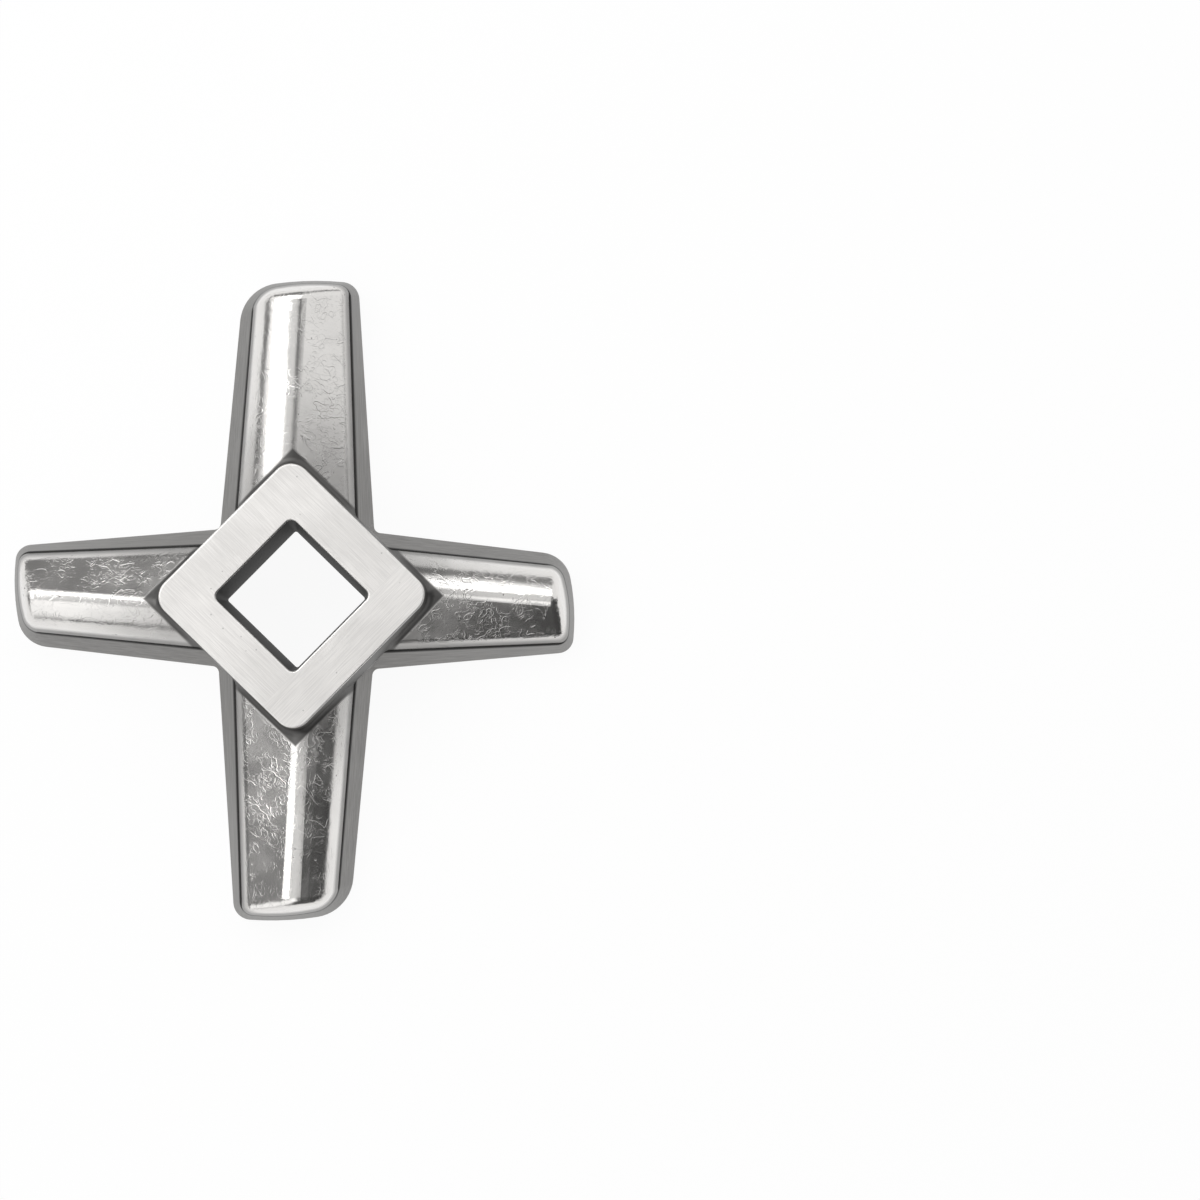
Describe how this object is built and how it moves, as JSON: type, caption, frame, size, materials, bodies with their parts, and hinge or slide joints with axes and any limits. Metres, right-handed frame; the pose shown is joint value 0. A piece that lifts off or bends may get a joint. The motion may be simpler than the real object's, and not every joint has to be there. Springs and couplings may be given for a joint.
{
  "type": "meat grinder knife",
  "caption": "Cross-shaped cast stainless knife for a meat grinder, with crowned arms of two lengths, a raised square hub and a square drive hole.",
  "frame": {"origin": "axis of the drive hole, at the flat cutting face", "axes": "+Z along the drive shaft, from the cutting face to the hub's face; +Y along the long pair of arms, +X along the short pair"},
  "size_m": [0.0836, 0.096, 0.019],
  "materials": {
    "cast_stainless": "tumble-polished cast stainless steel crowns, satin drafted sides, ground hub face and cutting face"
  },
  "bodies": {
    "root": {"cross_knife": "cast_stainless"}
  },
  "joints": []
}
